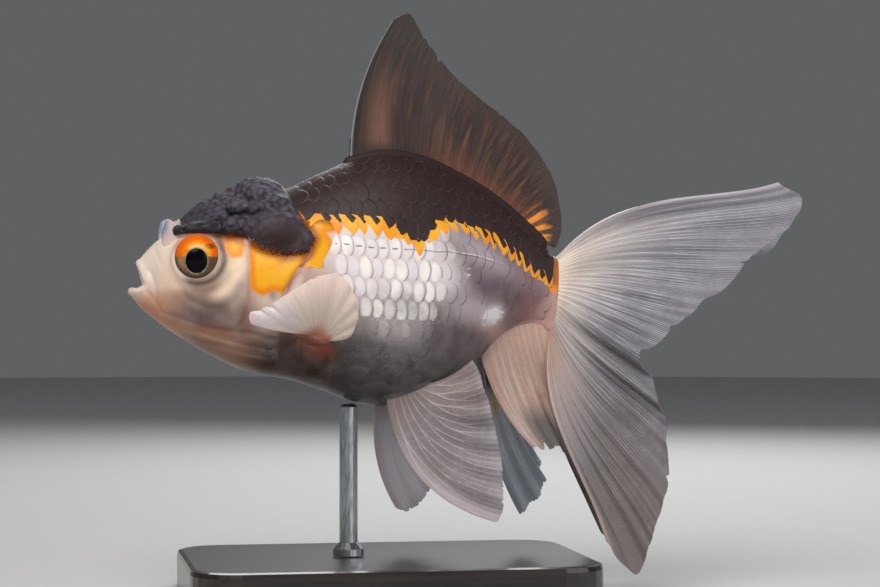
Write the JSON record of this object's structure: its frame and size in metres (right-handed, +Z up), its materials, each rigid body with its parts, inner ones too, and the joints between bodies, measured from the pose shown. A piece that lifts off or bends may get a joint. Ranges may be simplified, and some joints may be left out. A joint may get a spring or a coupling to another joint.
{
  "type": "tricolour oranda goldfish on a display stand",
  "caption": "Life-size still model of a black, orange and white oranda goldfish with a soft hood, tall dorsal fin and divided tail, swimming level on a low rod stand.",
  "frame": {"origin": "middle of the stand's underside, on the floor", "axes": "-X towards the snout, -Y out of the fish's left side, +Z up"},
  "size_m": [0.1499, 0.06, 0.1272],
  "materials": {
    "skin": "moist, satin, pearly where scaled",
    "hood": "soft, matt, finely wrinkled",
    "gill_cover": "smooth, satin",
    "fin": "translucent, satin, ribbed by its rays",
    "dorsal_fin": "dark, faintly translucent",
    "eye": "wet gloss",
    "stand_wood": "black lacquer, satin",
    "stand_steel": "brushed"
  },
  "bodies": {
    "root": {"head": "skin", "lower_jaw": "skin", "wen": "hood", "eye_left": "eye", "eye_right": "eye", "gill_cover_left": "gill_cover", "gill_cover_right": "gill_cover", "nostril_flap_left": "skin", "nostril_flap_right": "skin", "trunk": "skin", "tail_stalk": "skin", "dorsal_fin": "dorsal_fin", "pectoral_fin_left": "fin", "pectoral_fin_right": "fin", "pelvic_fin_left": "fin", "pelvic_fin_right": "fin", "anal_fin_left": "fin", "anal_fin_right": "fin", "caudal_fin_left": "fin", "caudal_fin_right": "fin", "stand_base": "stand_wood", "stand_rod": "stand_steel"}
  },
  "joints": []
}
